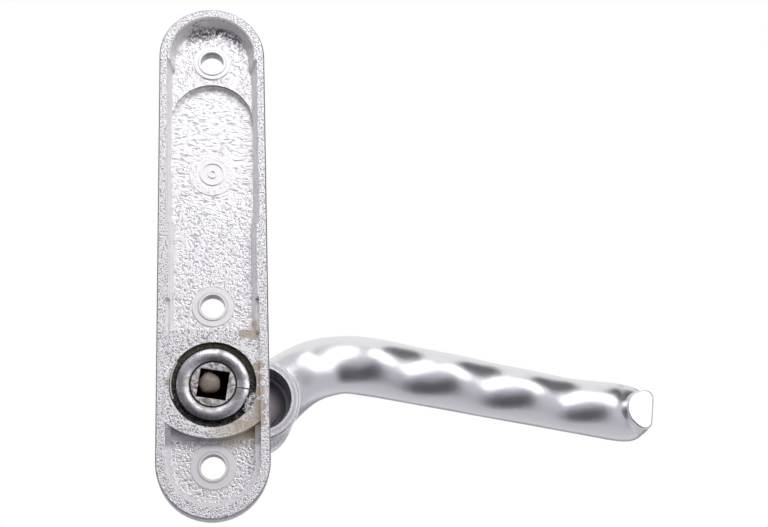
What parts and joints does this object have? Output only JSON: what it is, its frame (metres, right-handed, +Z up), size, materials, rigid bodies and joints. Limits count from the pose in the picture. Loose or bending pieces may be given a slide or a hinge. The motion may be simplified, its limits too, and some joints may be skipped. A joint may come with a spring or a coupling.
{
  "type": "balcony door lever handle",
  "caption": "Cast lever handle for a balcony door: a long hollow-backed plate with screw holes and a cranked, finger-waved lever that turns in it on a square socket.",
  "frame": {"origin": "on the spindle's axis, in the plane of the backplate's rear rim, which lies on the door", "axes": "+Z up along the plate, +X along the lever, +Y out of the door; the hollow back faces -Y"},
  "size_m": [0.171, 0.0534, 0.172],
  "materials": {
    "plate_casting": "satin",
    "lever_casting": "satin",
    "greased_nylon": "matte",
    "spring_steel": "satin",
    "ring_steel": "satin"
  },
  "bodies": {
    "plate": {"backplate": "plate_casting", "bearing_sleeve": "greased_nylon", "sleeve_clip": "spring_steel"},
    "lever": {"lever": "lever_casting", "retaining_ring": "ring_steel"}
  },
  "joints": [
    {"name": "lever_turn", "type": "hinge", "parent": "plate", "child": "lever", "pos_m": [0, 0, 0], "axis": [0, 1, 0], "range_deg": [-9.3, 80.7]}
  ]
}
